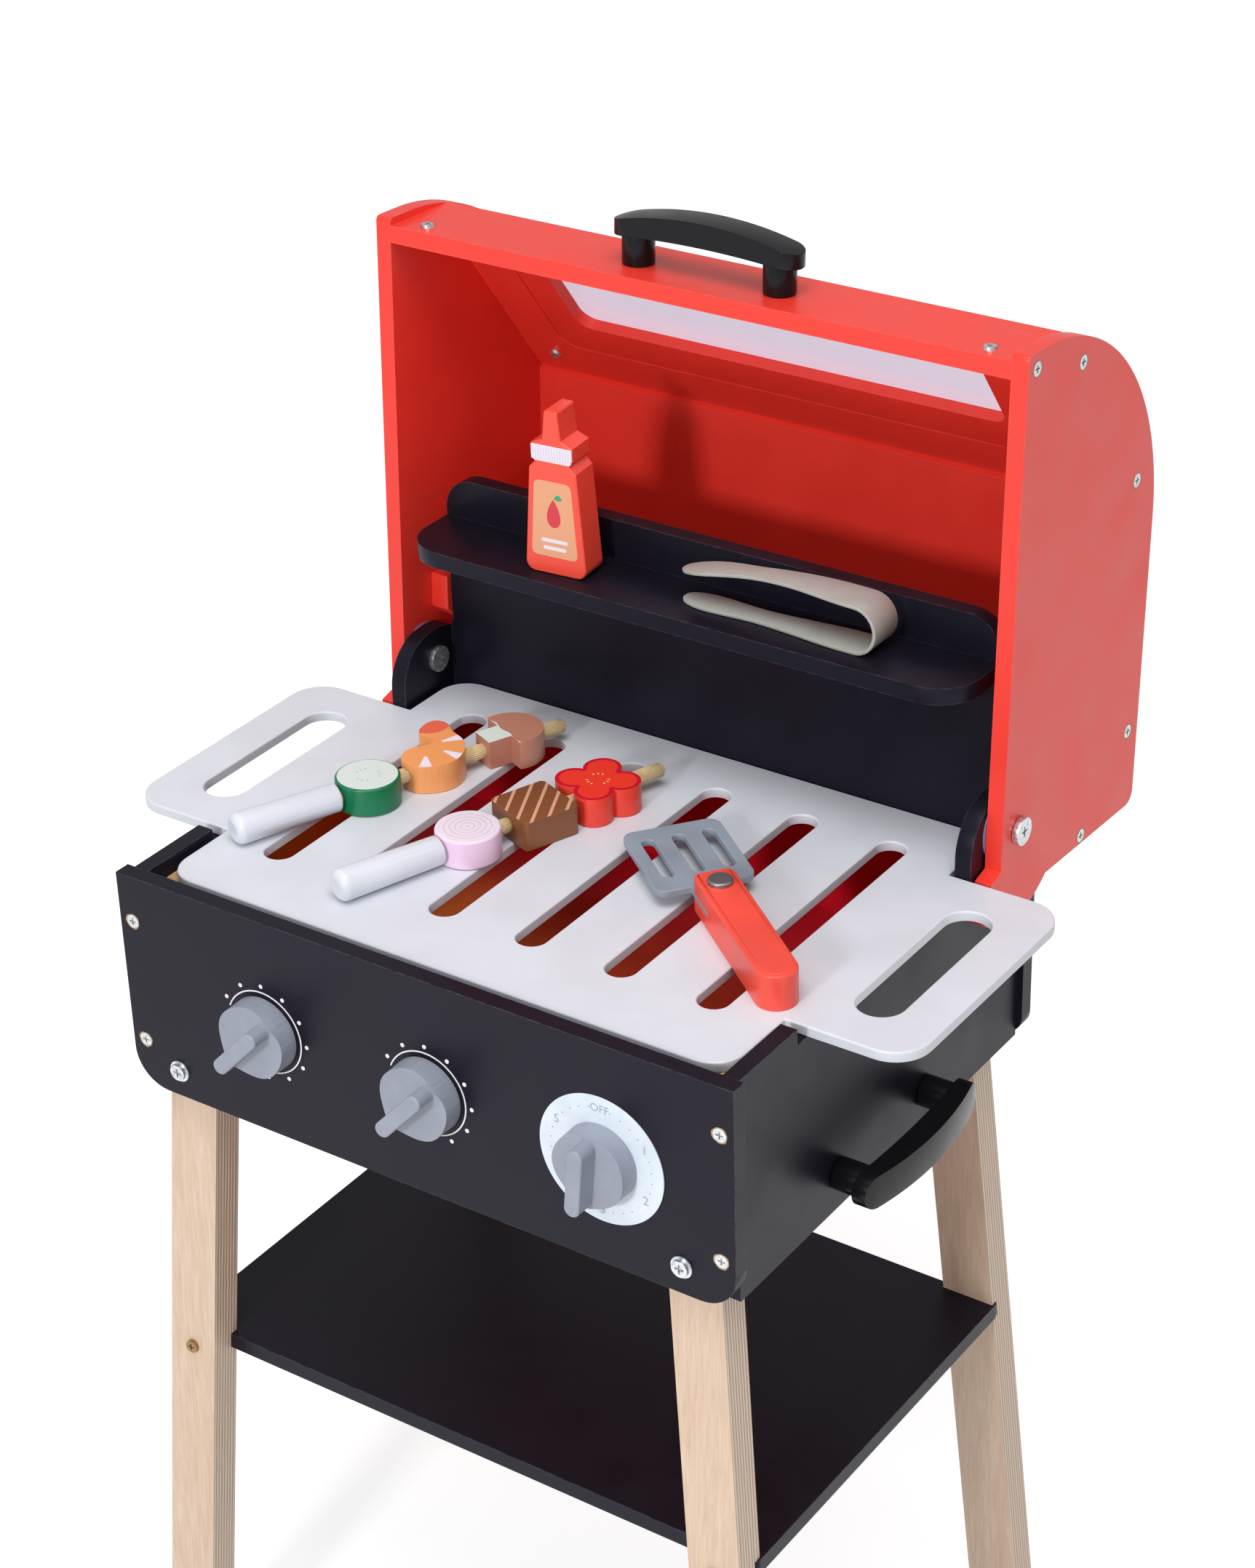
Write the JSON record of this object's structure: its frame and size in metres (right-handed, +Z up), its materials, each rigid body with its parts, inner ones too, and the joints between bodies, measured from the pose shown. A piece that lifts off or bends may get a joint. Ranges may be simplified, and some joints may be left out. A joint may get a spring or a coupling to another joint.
{
  "type": "toy barbecue grill",
  "caption": "Toy barbecue grill on four splayed legs with a hinged windowed lid, slotted grate, turning knobs, shelves and play food",
  "frame": {"origin": "on the floor, under the middle of the grill's overall box with the lid open", "axes": "+Z up, the front with the knobs faces -Y, +X to the grill's right seen from the front"},
  "size_m": [0.512, 0.4482, 0.9035],
  "materials": {
    "dark_paint": "satin dark paint on board",
    "ember_paint": "dark red print on board",
    "pine": "bare softwood",
    "plywood": "clear-coated layered wood",
    "zinc_screw": "zinc plated",
    "dial_plastic": "matt plate with grey marks",
    "black_plastic": "moulded black plastic",
    "washer_plastic": "translucent lilac plastic",
    "coral_paint": "satin coral red paint on board",
    "clear_pane": "clear acrylic with a lilac cast",
    "knob_plastic": "grey moulded plastic",
    "grate_paint": "pale grey paint on board",
    "handle_paint": "pale grey paint",
    "stick_wood": "turned wood",
    "cucumber_paint": "painted wood, pale green faces",
    "prawn_paint": "painted wood, white stripes",
    "mushroom_paint": "painted wood, pale stem",
    "onion_paint": "painted wood, pink rings",
    "meat_paint": "painted wood, tan stripes",
    "pepper_paint": "painted wood, lighter middle",
    "spatula_coral": "coral paint",
    "blade_paint": "grey paint",
    "pin_steel": "matt metal",
    "tong_steel": "brushed",
    "bottle_paint": "coral paint, peach label and white ribbed collar printed on the front"
  },
  "bodies": {
    "base": {"front_panel": "dark_paint", "rear_panel": "dark_paint", "left_side_panel": "dark_paint", "right_side_panel": "dark_paint", "floor_board": "ember_paint", "left_grate_cleat": "pine", "right_grate_cleat": "pine", "back_board": "dark_paint", "shelf": "dark_paint", "front_left_leg": "plywood", "front_right_leg": "plywood", "rear_left_leg": "plywood", "rear_right_leg": "plywood", "lower_shelf": "dark_paint", "panel_screws": "zinc_screw", "leg_bolts": "zinc_screw", "lower_shelf_screws": "zinc_screw", "dial_plate": "dial_plastic", "side_handle_grip": "black_plastic", "side_handle_posts": "black_plastic", "side_handle_screws": "zinc_screw", "hinge_bolts": "zinc_screw", "hinge_washers": "washer_plastic"},
    "lid": {"lid_left_side": "coral_paint", "lid_right_side": "coral_paint", "lid_top_board": "coral_paint", "lid_window_board": "coral_paint", "window_pane": "clear_pane", "lid_back_board": "coral_paint", "lid_bottom_board": "coral_paint", "left_stop_block": "coral_paint", "right_stop_block": "coral_paint", "lid_handle_grip": "black_plastic", "lid_handle_posts": "black_plastic", "lid_handle_screws": "zinc_screw", "lid_side_screws": "zinc_screw", "lid_button_screws": "zinc_screw"},
    "left_knob": {"knob_1": "knob_plastic", "knob_1_shaft": "zinc_screw"},
    "middle_knob": {"knob_2": "knob_plastic", "knob_2_shaft": "zinc_screw"},
    "right_knob": {"knob_3": "knob_plastic", "knob_3_shaft": "zinc_screw"},
    "grate": {"grate": "grate_paint"},
    "skewer_1": {"skewer_1_handle": "handle_paint", "skewer_1_stick": "stick_wood", "cucumber_slice": "cucumber_paint", "prawn_piece": "prawn_paint", "mushroom_piece": "mushroom_paint"},
    "skewer_2": {"skewer_2_handle": "handle_paint", "skewer_2_stick": "stick_wood", "onion_slice": "onion_paint", "meat_piece": "meat_paint", "pepper_slice": "pepper_paint"},
    "spatula": {"spatula_handle": "spatula_coral", "spatula_blade": "blade_paint", "spatula_pin": "pin_steel"},
    "tongs": {"tongs": "tong_steel"},
    "bottle": {"bottle_body": "bottle_paint"}
  },
  "joints": [
    {"name": "lid_hinge", "type": "hinge", "parent": "base", "child": "lid", "pos_m": [0, 0.07694, 0.6003], "axis": [-1, 0, 0], "range_deg": [-91.8, 0]},
    {"name": "left_knob_turn", "type": "hinge", "parent": "base", "child": "left_knob", "pos_m": [-0.1018, -0.19756, 0.5157], "axis": [0, -1, 0], "continuous": true},
    {"name": "middle_knob_turn", "type": "hinge", "parent": "base", "child": "middle_knob", "pos_m": [0.0083, -0.19756, 0.5157], "axis": [0, -1, 0], "continuous": true},
    {"name": "right_knob_turn", "type": "hinge", "parent": "base", "child": "right_knob", "pos_m": [0.1196, -0.19756, 0.5157], "axis": [0, -1, 0], "continuous": true},
    {"name": "grate_lift", "type": "slide", "parent": "base", "child": "grate", "axis": [0, 0, 1], "range_m": [0, 0.03]},
    {"name": "skewer_1_lift", "type": "slide", "parent": "grate", "child": "skewer_1", "axis": [0, 0, 1], "range_m": [0, 0.03]},
    {"name": "skewer_2_lift", "type": "slide", "parent": "grate", "child": "skewer_2", "axis": [0, 0, 1], "range_m": [0, 0.03]},
    {"name": "spatula_lift", "type": "slide", "parent": "grate", "child": "spatula", "axis": [0, 0, 1], "range_m": [0, 0.03]},
    {"name": "tongs_lift", "type": "slide", "parent": "base", "child": "tongs", "axis": [0, 0, 1], "range_m": [0, 0.03]},
    {"name": "bottle_slide", "type": "slide", "parent": "base", "child": "bottle", "axis": [0, -1, 0], "range_m": [0, 0.459]}
  ],
  "couplings": [
    {"joint": "bottle_slide", "follows": "lid_hinge", "m_per_rad": -0.28648}
  ]
}
